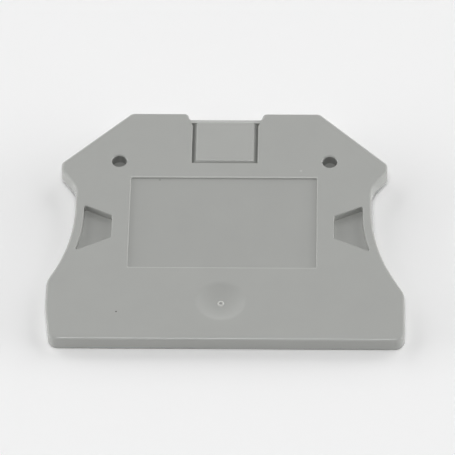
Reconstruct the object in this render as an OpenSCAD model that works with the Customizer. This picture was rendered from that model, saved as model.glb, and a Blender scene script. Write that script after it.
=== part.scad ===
// End cover for a row of rail-mounted terminal blocks: one moulded plastic plate.
// It lies on its back: X runs along the rail side, Y from the front edge to the
// scored tab, Z out of the labelled face. The back of the plate is at Z = 0 and
// the labelled middle line is at X = 0. All sizes are in millimetres.

/* [Plate] */
// Thickness of the plate
plate_t = 2.2; // [1.6:0.1:4]
// Front edge to the top of the shoulders
plate_h = 40.7; // [38.6:0.1:50]
// Half length of the top edge, between the two sloping corners
top_half_w = 12.84; // [10.5:0.01:15]
// Slope from the top edge down to each shoulder, from the horizontal
slope_angle = 45; // [40:1:48]
// Middle line to the outside of each shoulder
shoulder_x = 22.1; // [21:0.05:23]
// Height of the short upright edge of each shoulder
shoulder_edge = 1.3; // [0.9:0.1:2]
// Underside of each shoulder, from the vertical
undercut_angle = 35; // [30:1:45]
// Middle line to the narrowest place of the waist
waist_x = 19.97; // [19:0.01:20.4]
// Height at which the waist would meet the foot slope in a sharp corner
waist_y = 16.57; // [15:0.01:18]
// Slope of the foot's upper edge, from the vertical
foot_angle = 27.5; // [25:0.5:31]
// Middle line to the left end of the foot
foot_left = 23.31; // [22.6:0.01:24]
// Middle line to the right end of the foot
foot_right = 24.39; // [23.5:0.01:25.5]
// Height at which the left end starts to lean inwards
toe_y = 5.6; // [4.6:0.1:6.5]
// How far the left end leans inwards at the front edge
toe_lean = 0.65; // [0.3:0.05:1]

/* [Outline radii] */
// Corners of the front edge
foot_r = 1.3; // [0.8:0.1:2]
// Left end, where it starts to lean
toe_r = 20; // [8:1:25]
// Upper corners of the foot
knee_r = 3; // [1:0.5:4]
// Long curve from the foot into the waist
waist_r = 27; // [20:0.5:28]
// Curve from the waist into the shoulder's underside
throat_r = 4; // [2:0.5:5]
// Corners of the shoulders
shoulder_r = 0.8; // [0.6:0.1:1.1]
// Corners of the top edge
top_r = 1; // [0.6:0.1:3]
// Round over of the plate's front and back rims
rim_r = 0.35; // [0.1:0.05:0.4]
// Round over of the mouths of the recesses
mouth_edge_r = 0.15; // [0.05:0.05:0.2]

/* [Scored tab] */
// Width of the tab's panel, over both score lines
panel_w = 8.92; // [7:0.02:11]
// Bottom of the panel, from the front edge
panel_y = 31.6; // [30.5:0.1:34]
// How far the tab's far edge lies below the shoulders
tab_drop = 1.04; // [0.8:0.02:1.3]
// Width of the bevel along the tab's far edge
tab_bevel_w = 0.75; // [0.4:0.05:0.8]
// Slope of that bevel, from the horizontal
tab_bevel_angle = 22; // [10:1:30]
// Height of the lead-in above the panel's straight sides
lead_in_h = 2.3; // [2:0.1:2.8]
// Slope of the lead-in, from the vertical
lead_in_angle = 18; // [15:1:30]
// Corner between the top edge and the lead-in
mouth_r = 0.65; // [0.5:0.05:0.9]
// Corner between the lead-in and the tab's far edge
step_r = 0.1; // [0.1:0.05:0.4]
// Width of the score line along the tab's two sides
score_w = 0.66; // [0.3:0.02:0.7]
// Width of the score line along the bottom of the tab
score_foot_w = 0.44; // [0.2:0.02:0.7]
// Depth of the score line
score_depth = 0.75; // [0.3:0.05:0.9]
// Break of the tab's own edges along the score line
tab_edge = 0.1; // [0.05:0.05:0.2]
// Wall left between each end of the score line and the tab's far edge
score_end = 0.85; // [0.8:0.05:1.1]

/* [Label recess] */
// Width of the recess
label_w = 25.2; // [18:0.1:26]
// Height of the recess
label_h = 16.15; // [12:0.05:17]
// Lower edge of the recess, from the front edge
label_y = 12.66; // [11:0.02:13.5]
// Depth of the recess
label_depth = 0.25; // [0.2:0.05:0.5]
// Corners of the recess
label_r = 0.25; // [0.1:0.05:1]

/* [Side pockets] */
// Middle line to the inner side of each pocket
pocket_x = 14.95; // [14.2:0.05:15.6]
// Height of the inner side
pocket_h = 3.95; // [3:0.05:4.5]
// Middle of the inner side, from the front edge
pocket_y = 19.9; // [19:0.1:21]
// How much each pocket opens outwards, above and below
pocket_angle = 26; // [20:1:30]
// Wall between the pocket and the waist
pocket_wall = 1.2; // [1:0.05:1.6]
// Depth of each pocket
pocket_depth = 1.05; // [0.6:0.05:1.5]
// Corners of each pocket
pocket_r = 0.25; // [0.1:0.05:0.4]

/* [Sockets and pegs] */
// Middle line to each socket
socket_x = 14.28; // [13.5:0.02:15]
// Front edge to the sockets
socket_y = 31.8; // [31:0.1:32.5]
// Diameter of the blind sockets in the face
socket_d = 2; // [1.6:0.05:2.4]
// Depth of the sockets
socket_depth = 1.45; // [1:0.05:1.6]
// How much larger than a socket a peg is, so that it grips
peg_grip = 0.04; // [0.02:0.01:0.1]
// Room between a seated peg and the socket's floor
peg_gap = 0.25; // [0.1:0.05:0.5]
// Lead-in chamfer of a peg's tip
peg_chamfer = 0.2; // [0.1:0.05:0.3]

/* [Gate dimple] */
// Diameter of the dimple, over its rounded border
dimple_d = 7.2; // [5:0.1:8]
// Depth of the dimple
dimple_depth = 0.55; // [0.3:0.05:0.6]
// Radius at which the border rolls over into the face
dimple_edge_r = 2; // [0.5:0.1:3]
// Centre of the dimple, from the front edge
dimple_y = 6.65; // [5.5:0.05:7.5]
// Diameter of the ring left by the gate
gate_d = 0.9; // [0.6:0.1:1.6]
// Width of that ring's round bead
gate_bead = 0.24; // [0.14:0.02:0.3]

/* [Hidden] */
$fn = 48;

// Largest gap between an outline's true arc and the chords that draw it
arc_tolerance = 0.005;
// Steps in a rounded edge
edge_steps = 3;
// How far cutters stand clear of the surface that they open
clear = 0.05;
// Steps in the dimple's dish and in its rounded border
dish_steps = 8;
border_steps = 6;
// Facets round the gate's bead
bead_facets = 24;
// Colour of the plastic
body_grey = [0.647, 0.655, 0.643];

half_panel = panel_w / 2;
tab_y = plate_h - tab_drop;
kink_y = plate_h - lead_in_h;
shoulder_top_y = plate_h - (shoulder_x - top_half_w) * tan(slope_angle);
shoulder_low_y = shoulder_top_y - shoulder_edge;
throat_y = shoulder_low_y - (shoulder_x - waist_x) / tan(undercut_angle);
peg_d = socket_d + peg_grip;
peg_h = socket_depth - peg_gap;

function knee_y(x) = waist_y - (x - waist_x) / tan(foot_angle);
function lead_in_x(y) = half_panel + (y - kink_y) * tan(lead_in_angle);

// Outlines are lists of [x, y, radius] corners, anticlockwise
function flipped(corners) = [for (i = [len(corners) - 1:-1:0]) [-corners[i].x, corners[i].y, corners[i].z]];
function unit(v) = v / norm(v);
function heading(a, b) = atan2(b.y - a.y, b.x - a.x);
function turn(a, b, c) = let (t = heading(b, c) - heading(a, b)) t > 180 ? t - 360 : t < -180 ? t + 360 : t;
function arc_steps(r, angle) = max(2, ceil(abs(angle) / (2 * acos(1 - min(1, arc_tolerance / r)))));

// One rounded corner, drawn inwards by inset: its radius shrinks outside and grows inside
function corner_arc(a, b, c, r, inset) =
    let (
        t = turn(a, b, c),
        side = sign(t),
        along = unit([b.x - a.x, b.y - a.y]),
        centre = [b.x, b.y] - along * r * tan(abs(t) / 2) + side * r * [-along.y, along.x],
        start = heading(a, b) - side * 90,
        steps = arc_steps(r, t)
    )
    [for (k = [0:steps]) let (d = start + t * k / steps) centre + (r - side * inset) * [cos(d), sin(d)]];

function outline(corners, inset) =
    let (n = len(corners))
    [for (i = [0:n - 1])
        each corner_arc(corners[(i + n - 1) % n], corners[i], corners[(i + 1) % n], corners[i].z, inset)];

// Section of a quarter round as [inset, rise] pairs, from the wall to the face and on past it by clear
function round_over(r) =
    let (
        arc = [for (k = [0:edge_steps]) let (d = 90 * k / edge_steps) [r * (1 - cos(d)), r * sin(d)]],
        last = arc[edge_steps] - arc[edge_steps - 1]
    )
    concat([for (k = [0:edge_steps - 1]) arc[k]], [arc[edge_steps] + last * clear / last.y]);

side_corners = [
    [waist_x, waist_y, waist_r],
    [waist_x, throat_y, throat_r],
    [shoulder_x, shoulder_low_y, shoulder_r],
    [shoulder_x, shoulder_top_y, shoulder_r],
    [top_half_w, plate_h, top_r],
    [lead_in_x(plate_h), plate_h, mouth_r],
    [lead_in_x(tab_y), tab_y, step_r]
];

plate_corners = concat(
    [[foot_right, 0, foot_r], [foot_right, knee_y(foot_right), knee_r]],
    side_corners,
    flipped(side_corners),
    [[-foot_left, knee_y(foot_left), knee_r], [-foot_left, toe_y, toe_r], [toe_lean - foot_left, 0, foot_r]]
);

label_corners = [
    [-label_w / 2, label_y, label_r],
    [label_w / 2, label_y, label_r],
    [label_w / 2, label_y + label_h, label_r],
    [-label_w / 2, label_y + label_h, label_r]
];

// The pocket's outer side keeps an even wall to the long curve of the waist
waist_centre = [waist_x + waist_r, waist_y + waist_r * tan(foot_angle / 2)];
pocket_side_r = waist_r + pocket_wall;

// Inner corner of a pocket, above (side 1) or below (side -1) its middle
function pocket_inner(side) = [pocket_x, pocket_y + side * pocket_h / 2];

// Where the upper or lower edge of a pocket meets its outer side
function pocket_outer(side) =
    let (
        along = [cos(pocket_angle), side * sin(pocket_angle)],
        away = pocket_inner(side) - waist_centre,
        reach = away * along,
        half_chord = sqrt(reach * reach - away * away + pocket_side_r * pocket_side_r)
    )
    pocket_inner(side) - along * (reach + half_chord);

// Where the tangents at the two ends of a pocket's outer side meet
pocket_chord = (pocket_outer(1) + pocket_outer(-1)) / 2 - waist_centre;
pocket_bend = waist_centre + pocket_chord * pow(pocket_side_r / norm(pocket_chord), 2);
pocket_bend_turn = turn(pocket_outer(-1), pocket_bend, pocket_outer(1));
pocket_corner_turn = turn(pocket_bend, pocket_outer(1), pocket_inner(1));
pocket_corner_run = pocket_r * tan(pocket_corner_turn / 2) + clear;
pocket_bend_r = (norm(pocket_bend - pocket_outer(1)) - pocket_corner_run) / tan(abs(pocket_bend_turn) / 2);

function rounded(point, r) = [point.x, point.y, r];

pocket_corners = [
    rounded(pocket_inner(-1), pocket_r),
    rounded(pocket_outer(-1), pocket_r),
    rounded(pocket_bend, pocket_bend_r),
    rounded(pocket_outer(1), pocket_r),
    rounded(pocket_inner(1), pocket_r)
];

// Lofts one outline through a list of [inset, z] sections and closes it with fans about centre
module loft(corners, sections, centre) {
    rings = [for (s = sections) [for (p = outline(corners, s[0])) [p.x, p.y, s[1]]]];
    n = len(rings[0]);
    m = len(rings);
    points = concat(
        [for (ring = rings) each ring],
        [[centre.x, centre.y, sections[0][1]], [centre.x, centre.y, sections[m - 1][1]]]
    );
    walls = [for (j = [0:m - 2], i = [0:n - 1])
        [j * n + i, (j + 1) * n + i, (j + 1) * n + (i + 1) % n, j * n + (i + 1) % n]];
    floor_fan = [for (i = [0:n - 1]) [n * m, i, (i + 1) % n]];
    top_fan = [for (i = [0:n - 1]) [n * m + 1, (m - 1) * n + (i + 1) % n, (m - 1) * n + i]];
    polyhedron(points, concat(walls, floor_fan, top_fan));
}

// Everything between two heights
module slab(low, high) {
    translate([-plate_h, -plate_h, low]) cube([2 * plate_h, 3 * plate_h, high - low]);
}

// The plate before anything is cut into it, with both rims rounded over
module blank() {
    edge = round_over(rim_r);
    back = [for (k = [edge_steps:-1:0]) [edge[k].x, rim_r - edge[k].y]];
    front = [for (s = edge) [s.x, plate_t - rim_r + s.y]];
    intersection() {
        loft(plate_corners, concat(back, front), [0, plate_h / 2]);
        slab(0, plate_t);
    }
}

// A blind recess in the face, whose mouth is rounded over
module recess(corners, depth, centre) {
    mouth = [for (s = round_over(mouth_edge_r)) [-s.x, plate_t - mouth_edge_r + s.y]];
    intersection() {
        loft(corners, concat([[0, plate_t - depth - clear]], mouth), centre);
        slab(plate_t - depth, plate_t + 2 * clear);
    }
}

module label_recess() {
    recess(label_corners, label_depth, [0, label_y + label_h / 2]);
}

module side_pocket() {
    recess(pocket_corners, pocket_depth, [(pocket_x + pocket_bend.x) / 2, pocket_y]);
}

// The score line goes round three sides of the tab and stops short of its far edge
score_side = [half_panel, kink_y];
score_tip = [lead_in_x(tab_y - score_end), tab_y - score_end];
score_path = [
    [-score_tip.x, score_tip.y],
    [-score_side.x, score_side.y],
    [-half_panel, panel_y],
    [half_panel, panel_y],
    score_side,
    score_tip
];
score_widths = [score_w, score_w, score_foot_w, score_w, score_w];

// Groove section, upright outside and sloping up to the tab, with both edges broken;
// each point is [share of the width, extra step, height]
score_section = [
    [0, 0, plate_t - mouth_edge_r],
    [0, 0, plate_t - score_depth],
    [1 - tab_edge / score_depth, 0, plate_t - tab_edge],
    [1 + clear / score_depth, tab_edge + clear, plate_t + clear],
    [0, -mouth_edge_r - clear, plate_t + clear]
];

function left_normal(a, b) = let (along = unit(b - a)) [-along.y, along.x];

// Step at one point of a path that brings the runs before and after it sideways by their own steps;
// the path's two ends are cut level
function mitre(path, i, steps) =
    let (
        before = max(i, 1) - 1,
        after = min(i, len(steps) - 1),
        a = left_normal(path[before], path[before + 1]),
        b = left_normal(path[after], path[after + 1]),
        crossing = a.x * b.y - a.y * b.x
    )
    before == after
        ? [steps[after] / a.x, 0]
        : [b.y * steps[before] - a.y * steps[after], a.x * steps[after] - b.x * steps[before]] / crossing;

module score_line() {
    n = len(score_section);
    m = len(score_path);
    points = [for (i = [0:m - 1], s = score_section)
        let (
            steps = [for (w = score_widths) s[0] * w + s[1]],
            p = score_path[i] + mitre(score_path, i, steps)
        )
        [p.x, p.y, s[2]]];
    walls = [for (i = [0:m - 2], j = [0:n - 1])
        [i * n + j, (i + 1) * n + j, (i + 1) * n + (j + 1) % n, i * n + (j + 1) % n]];
    first_end = [for (j = [0:n - 1]) j];
    last_end = [for (j = [n:-1:1]) (m - 1) * n + j % n];
    polyhedron(points, concat(walls, [first_end, last_end]));
}

// A bevel along the tab's far edge, between the two lead-ins
module tab_bevel() {
    slope = tan(tab_bevel_angle);
    section = [
        [tab_y - tab_bevel_w - clear / slope, plate_t + clear],
        [tab_y + clear, plate_t - (tab_bevel_w + clear) * slope],
        [tab_y + clear, plate_t + clear]
    ];
    points = [for (side = [-1, 1], s = section) [side * lead_in_x(s[0]), s[0], s[1]]];
    polyhedron(points, [[0, 1, 2], [5, 4, 3], [0, 3, 4, 1], [1, 4, 5, 2], [2, 5, 3, 0]]);
}

module socket() {
    lip = mouth_edge_r + clear;
    translate([socket_x, socket_y, plate_t - socket_depth])
        cylinder(d = socket_d, h = socket_depth + clear);
    translate([socket_x, socket_y, plate_t - mouth_edge_r])
        cylinder(d1 = socket_d, d2 = socket_d + 2 * lip, h = lip);
}

// A press-in peg on the back, in line with the socket, so that covers and blocks stack
module peg() {
    root = (plate_t - socket_depth) / 2;
    r = peg_d / 2;
    translate([socket_x, socket_y, 0])
        rotate_extrude()
            polygon([
                [0, -peg_h],
                [r - peg_chamfer, -peg_h],
                [r, peg_chamfer - peg_h],
                [r, root],
                [0, root]
            ]);
}

// A shallow dish round the gate, whose border rolls over into the face
module dimple() {
    reach = (pow(dimple_d / 2, 2) + pow(dimple_depth, 2)) / (2 * dimple_depth);
    slope = asin(dimple_d / 2 / reach);
    dish_r = reach - dimple_edge_r;
    dish = [for (k = [1:dish_steps])
        let (d = slope * k / dish_steps)
        [dish_r * sin(d), plate_t - dimple_depth + dish_r * (1 - cos(d))]];
    border = [for (k = [border_steps - 1:-1:0])
        let (d = slope * k / border_steps)
        [dimple_d / 2 - dimple_edge_r * sin(d), plate_t - dimple_edge_r * (1 - cos(d))]];
    last = border[border_steps - 1] - border[border_steps - 2];
    rim = border[border_steps - 1] + last * clear / last.y;
    profile = concat([[0, dish[0].y]], dish, border, [rim, [0, rim.y]]);
    translate([0, dimple_y, 0])
        rotate_extrude()
            polygon(profile);
}

// The bead that the mould's gate leaves at the bottom of the dimple
module gate_mark() {
    translate([0, dimple_y, plate_t - dimple_depth])
        rotate_extrude()
            translate([(gate_d - gate_bead) / 2, 0])
                circle(d = gate_bead, $fn = bead_facets);
}

module both_sides() {
    children();
    mirror([1, 0, 0]) children();
}

module end_cover() {
    color(body_grey) {
        difference() {
            blank();
            label_recess();
            both_sides() side_pocket();
            both_sides() socket();
            score_line();
            tab_bevel();
            dimple();
        }
        both_sides() peg();
        gate_mark();
    }
}

end_cover();
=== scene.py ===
"""Looks of the terminal block end cover: its moulded skin, finish, floor, light and camera."""

import math

import bmesh
import bpy
from mathutils import Matrix, Vector


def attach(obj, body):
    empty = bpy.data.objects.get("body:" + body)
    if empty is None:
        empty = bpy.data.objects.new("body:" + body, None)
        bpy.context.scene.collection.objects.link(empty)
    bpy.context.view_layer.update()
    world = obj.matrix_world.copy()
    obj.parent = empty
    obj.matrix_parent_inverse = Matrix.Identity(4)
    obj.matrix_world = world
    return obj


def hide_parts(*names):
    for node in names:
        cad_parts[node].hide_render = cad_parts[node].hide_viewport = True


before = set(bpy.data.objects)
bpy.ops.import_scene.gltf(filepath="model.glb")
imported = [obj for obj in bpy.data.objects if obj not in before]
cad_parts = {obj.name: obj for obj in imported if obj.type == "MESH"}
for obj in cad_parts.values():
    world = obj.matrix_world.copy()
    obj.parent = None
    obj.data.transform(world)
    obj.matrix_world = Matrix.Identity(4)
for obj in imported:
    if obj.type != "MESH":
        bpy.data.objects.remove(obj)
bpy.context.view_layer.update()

MM = 0.001
NODE = "end_cover"
BODY = "root"

# Photograph: its size and the camera that took it
PHOTO_SIZE = 455
FOCAL_PIXELS = 5420.9
SENSOR_WIDTH = 36.0
CAMERA_DISTANCE = 726.65 * MM
CAMERA_ELEVATION = math.radians(48.33)
CAMERA_YAW = math.radians(-2.15)
CAMERA_ROLL = math.radians(1.32)
TARGET_POINT = Vector((0, 18, 2.2)) * MM
TARGET_PIXEL = (222.50, 237.09)
CLIP_START = 10 * MM

# Skin: vertices closer than this are one, and faces this near to one plane are one
MERGE_DISTANCE = 0.0005 * MM
FLAT_ANGLE = math.radians(0.05)
# Edges sharper than this stay sharp, and those between two broad flats already at a crease
SHARP_ANGLE = math.radians(38)
CREASE_ANGLE = math.radians(15)
FLAT_WIDTH = 0.5 * MM
# How far the broad faces set the normals of their corners, out of 100
FLAT_WEIGHT = 100

# Colours, as linear light
GREY = (0.380, 0.385, 0.370)
# Lighter gate ring: partly stress-whitened plastic, partly a painted highlight.
WHITENED_AND_HIGHLIT = (0.60, 0.60, 0.58)
PALE = (0.46, 0.46, 0.45)
# Painted shade of the nick at the label's edge.
NICK_SHADE = (0.30, 0.31, 0.29)
SOOT = (0.10, 0.10, 0.09)
FLOOR_COLOUR = (0.935, 0.935, 0.935)
BACKDROP = (0.86, 0.86, 0.86)

# Table top: its edge length in metres and its roughness
FLOOR_SIZE = 6.0
FLOOR_ROUGHNESS = 0.7

# Plastic: how far its colour and roughness wander, the size of that wander, and its fine grain
COLOUR_WANDER = 0.03
ROUGHNESS = (0.22, 0.28)
CLOUD_SIZE = 4.5 * MM
CLOUD_DETAIL = 4.0
GRAIN_SIZE = 0.12 * MM
GRAIN_DETAIL = 2.0
GRAIN_HEIGHT = 0.02 * MM
GRAIN_STRENGTH = 0.05

# Places with a tone of their own, and places with painted light and shade: name, tone, and the
# middle and half size of a box, in millimetres
TONES_AND_PAINTED_LIGHT = [
    ("label_field", 0.963, (0, 20.735, 1.95), (12.6, 8.075, 0.05)),
    # Painted highlight: a lighter line round the label field's lip, where its edges catch the
    # light.
    ("label_lip_painted_highlight", 1.18, (0, 20.735, 2.15), (12.65, 8.275, 0.08)),
    # Painted shade: the two sockets darker inside, where shade falls in them.
    ("left_socket_painted_shade", 0.8, (-14.28, 31.8, 1.4), (1.05, 1.05, 0.68)),
    ("right_socket_painted_shade", 0.8, (14.28, 31.8, 1.4), (1.05, 1.05, 0.68)),
    # Painted light: the tab a shade lighter than the rest of the face.
    ("tab_painted_light", 1.045, (0, 35.85, 2.0), (3.9, 3.85, 0.25)),
]

# Marks on the face, and spots of painted light and shade: name, colour, centre, and inner and outer
# radius, in millimetres
MARK_BLUR = 0.06 * MM
MARKS_AND_PAINTED_LIGHT = [
    # Gate ring: partly stress-whitened plastic, partly a painted highlight on its bead.
    ("gate_ring_whitened_and_highlit", WHITENED_AND_HIGHLIT, (0, 6.65, 1.71), 0.20, 0.44),
    ("dark_speck", SOOT, (-13.84, 4.72, 2.2), 0, 0.08),
    ("pale_speck", PALE, (10.40, 30.07, 2.2), 0, 0.14),
    # Painted shade: a small dark patch where the label's edge has a nick.
    ("label_nick_painted_shade", NICK_SHADE, (-8.7, 28.55, 1.95), 0, 0.15),
]

# Lamps: name, azimuth from the camera's side and elevation in degrees, width and height in metres,
# radiance, and whether the plastic mirrors them. The side ones would whiten the face in low views.
LIGHT_DISTANCE = 2.0
LIGHTS = [
    ("left", -90, 10, 2.4, 0.6, 5.4, False),
    ("right", 90, 10, 2.4, 0.6, 5.4, False),
    ("back_left", -135, 10, 2.4, 0.6, 1.2, False),
    ("back_right", 135, 10, 2.4, 0.6, 1.2, False),
    ("back", 180, 10, 2.4, 0.6, 0.35, True),
    ("mid_left", -90, 30, 1.1, 1.1, 1.5, False),
    ("mid_right", 90, 30, 1.1, 1.1, 1.5, False),
    ("mid_back_left", -135, 30, 1.1, 1.1, 2.4, False),
    ("mid_back_right", 135, 30, 1.1, 1.1, 2.4, False),
    ("front", 0, 66, 0.6, 0.6, 14.7, True),
]

# Sockets of a Mix node that are in use when it blends colours
MIX_SHARE, MIX_FIRST, MIX_SECOND = 0, 6, 7
MIX_RESULT = 2


def node_adder(tree):
    """A function that adds a node to a tree and sets or links its inputs by name or number."""
    def add(kind, inputs=(), **settings):
        node = tree.nodes.new(kind)
        for key, value in settings.items():
            setattr(node, key, value)
        for key, value in dict(inputs).items():
            socket = node.inputs[key]
            if isinstance(value, bpy.types.NodeSocket):
                tree.links.new(value, socket)
            else:
                socket.default_value = value
        return node
    return add


def new_material(name):
    """An empty node material and the function that adds nodes to it."""
    material = bpy.data.materials.new(name)
    material.use_nodes = True
    material.node_tree.nodes.clear()
    return material, node_adder(material.node_tree)


def blend(add, share, first, second, how="MIX"):
    """Goes from the first colour to the second, or to the two multiplied, by a share."""
    inputs = {MIX_SHARE: share, MIX_FIRST: first, MIX_SECOND: second}
    return add("ShaderNodeMix", inputs, data_type="RGBA", blend_type=how).outputs[MIX_RESULT]


def within(add, place, centre, radius):
    """1 inside a ball and 0 outside it, with a soft border."""
    gap = add("ShaderNodeVectorMath", {0: place, 1: centre}, operation="DISTANCE")
    border = {"Value": gap.outputs["Value"], "From Min": radius, "From Max": radius + MARK_BLUR,
              "To Min": 1.0, "To Max": 0.0}
    return add("ShaderNodeMapRange", border, interpolation_type="SMOOTHSTEP").outputs[0]


def boxed(add, place, middle, half):
    """1 inside a box and 0 outside it."""
    share = 1.0
    along = add("ShaderNodeSeparateXYZ", {0: place}).outputs
    for axis, centre, reach in zip(along, middle, half):
        near = add("ShaderNodeMath", {0: axis, 1: centre, 2: reach}, operation="COMPARE").outputs[0]
        share = add("ShaderNodeMath", {0: share, 1: near}, operation="MULTIPLY").outputs[0]
    return share


def polyamide():
    """Matt grey polyamide from a spark-eroded mould, with the few marks that the face bears, and
    painted light and shade in some places.
    """
    material, add = new_material("grey_polyamide")
    place = add("ShaderNodeTexCoord").outputs["Object"]
    fine = {"Vector": place, "Scale": 1 / GRAIN_SIZE, "Detail": GRAIN_DETAIL}
    grain = add("ShaderNodeTexNoise", fine).outputs[0]
    broad = {"Vector": place, "Scale": 1 / CLOUD_SIZE, "Detail": CLOUD_DETAIL}
    cloud = add("ShaderNodeTexNoise", broad).outputs[0]
    darker, lighter = [(*[c * (1 + k) for c in GREY], 1) for k in (-COLOUR_WANDER, COLOUR_WANDER)]
    colour = blend(add, cloud, darker, lighter)
    # Some boxes paint light and shade rather than the plastic's own tone.
    for _, tone, middle, half in TONES_AND_PAINTED_LIGHT:
        share = boxed(add, place, Vector(middle) * MM, Vector(half) * MM)
        colour = blend(add, share, colour, (tone, tone, tone, 1), "MULTIPLY")
    # Some of these are painted highlights or shade rather than marks the plastic bears.
    for _, tint, centre, inner, outer in MARKS_AND_PAINTED_LIGHT:
        centre = Vector(centre) * MM
        mark_and_painted_light = within(add, place, centre, outer * MM)
        if inner:
            hole = within(add, place, centre, inner * MM)
            mark_and_painted_light = add("ShaderNodeMath", {0: mark_and_painted_light, 1: hole}, operation="SUBTRACT").outputs[0]
        colour = blend(add, mark_and_painted_light, colour, (*tint, 1))
    dull = {"Value": cloud, "To Min": ROUGHNESS[0], "To Max": ROUGHNESS[1]}
    roughness = add("ShaderNodeMapRange", dull).outputs[0]
    bump = {"Strength": GRAIN_STRENGTH, "Distance": GRAIN_HEIGHT, "Height": grain}
    normal = add("ShaderNodeBump", bump).outputs[0]
    skin = {"Base Color": colour, "Roughness": roughness, "Normal": normal}
    shader = add("ShaderNodeBsdfPrincipled", skin).outputs[0]
    add("ShaderNodeOutputMaterial", {"Surface": shader})
    return material


def breadth(face):
    """How broad a long face is."""
    return face.calc_area() / max(edge.calc_length() for edge in face.edges)


def crisp(edge):
    """Whether an edge shows as a line, rather than as part of a round."""
    angle = edge.calc_face_angle(math.pi)
    if angle <= CREASE_ANGLE:
        return False
    return angle > SHARP_ANGLE or min(map(breadth, edge.link_faces)) > FLAT_WIDTH


def moulded_skin(node):
    """The cover's solid as one skin whose rounded rims shade smoothly and whose flats stay flat."""
    mesh = node.data.copy()
    mesh.name = "cover_skin"
    skin = bmesh.new()
    skin.from_mesh(mesh)
    bmesh.ops.remove_doubles(skin, verts=skin.verts, dist=MERGE_DISTANCE)
    bmesh.ops.dissolve_limit(skin, angle_limit=FLAT_ANGLE, verts=skin.verts, edges=skin.edges)
    for face in skin.faces:
        face.smooth = True
    for edge in skin.edges:
        edge.smooth = not crisp(edge)
    skin.to_mesh(mesh)
    skin.free()
    cover = bpy.data.objects.new("cover", mesh)
    bpy.context.scene.collection.objects.link(cover)
    flats = cover.modifiers.new("flat_faces", "WEIGHTED_NORMAL")
    flats.mode = "FACE_AREA"
    flats.weight = FLAT_WEIGHT
    flats.keep_sharp = True
    return cover


def floor(cover):
    """A pale table top under the cover, which lies on its front edge and its pegs."""
    points = [vertex.co for vertex in cover.data.vertices]
    slope = min(math.atan2(point.z, point.y) for point in points if point.y > 0)
    bpy.ops.mesh.primitive_plane_add(size=FLOOR_SIZE, rotation=(slope, 0, 0))
    table = bpy.context.object
    table.name = "floor"
    material, add = new_material("pale_table")
    top = {"Base Color": (*FLOOR_COLOUR, 1), "Roughness": FLOOR_ROUGHNESS}
    add("ShaderNodeOutputMaterial", {"Surface": add("ShaderNodeBsdfPrincipled", top).outputs[0]})
    table.data.materials.append(material)


def lights():
    """Soft lamps round the cover, low and halfway up, and a small one high in front."""
    for name, azimuth, elevation, width, height, radiance, mirrored in LIGHTS:
        lamp = bpy.data.lights.new(name, "AREA")
        lamp.shape = "RECTANGLE"
        lamp.size = width
        lamp.size_y = height
        lamp.energy = radiance * math.pi * width * height
        a, e = math.radians(azimuth), math.radians(elevation)
        away = Vector((math.sin(a) * math.cos(e), -math.cos(a) * math.cos(e), math.sin(e)))
        lamp_object = bpy.data.objects.new(name, lamp)
        bpy.context.scene.collection.objects.link(lamp_object)
        lamp_object.location = TARGET_POINT + away * LIGHT_DISTANCE
        lamp_object.rotation_euler = away.to_track_quat("Z", "Y").to_euler()
        lamp_object.visible_camera = False
        lamp_object.visible_glossy = mirrored


def backdrop():
    """A pale backdrop for the camera and in reflections, which gives no other light."""
    world = bpy.data.worlds.new("backdrop")
    bpy.context.scene.world = world
    world.use_nodes = True
    world.node_tree.nodes.clear()
    add = node_adder(world.node_tree)
    paths = add("ShaderNodeLightPath").outputs
    seen = paths["Is Camera Ray"]
    for kind in ("Is Glossy Ray", "Is Transmission Ray"):
        seen = add("ShaderNodeMath", {0: seen, 1: paths[kind]}, operation="MAXIMUM").outputs[0]
    pale = add("ShaderNodeBackground", {"Color": (*BACKDROP, 1), "Strength": seen}).outputs[0]
    add("ShaderNodeOutputWorld", {"Surface": pale})


def camera():
    """The camera that took the photograph."""
    c, s = math.cos(CAMERA_YAW), math.sin(CAMERA_YAW)
    ahead = Vector((s, c, 0))
    forward = ahead * math.cos(CAMERA_ELEVATION) - Vector((0, 0, math.sin(CAMERA_ELEVATION)))
    level_up = ahead * math.sin(CAMERA_ELEVATION) + Vector((0, 0, math.cos(CAMERA_ELEVATION)))
    level_right = Vector((c, -s, 0))
    right = level_right * math.cos(CAMERA_ROLL) - level_up * math.sin(CAMERA_ROLL)
    up = level_right * math.sin(CAMERA_ROLL) + level_up * math.cos(CAMERA_ROLL)
    place = TARGET_POINT - forward * CAMERA_DISTANCE
    aside = (TARGET_PIXEL[0] - PHOTO_SIZE / 2) / FOCAL_PIXELS
    above = (PHOTO_SIZE / 2 - TARGET_PIXEL[1]) / FOCAL_PIXELS
    forward = (forward - right * aside - up * above).normalized()
    right = (right - forward * right.dot(forward)).normalized()
    up = right.cross(forward)
    lens = bpy.data.cameras.new("camera")
    lens.sensor_width = SENSOR_WIDTH
    lens.lens = SENSOR_WIDTH * FOCAL_PIXELS / PHOTO_SIZE
    lens.clip_start = CLIP_START
    view = bpy.data.objects.new("camera", lens)
    bpy.context.scene.collection.objects.link(view)
    view.matrix_world = Matrix((right, up, -forward)).transposed().to_4x4()
    view.location = place
    bpy.context.scene.camera = view


bpy.context.scene.view_settings.view_transform = "Standard"
cover = moulded_skin(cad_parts[NODE])
cover.data.materials.clear()
cover.data.materials.append(polyamide())
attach(cover, BODY)
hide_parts(NODE)
floor(cover)
lights()
backdrop()
camera()
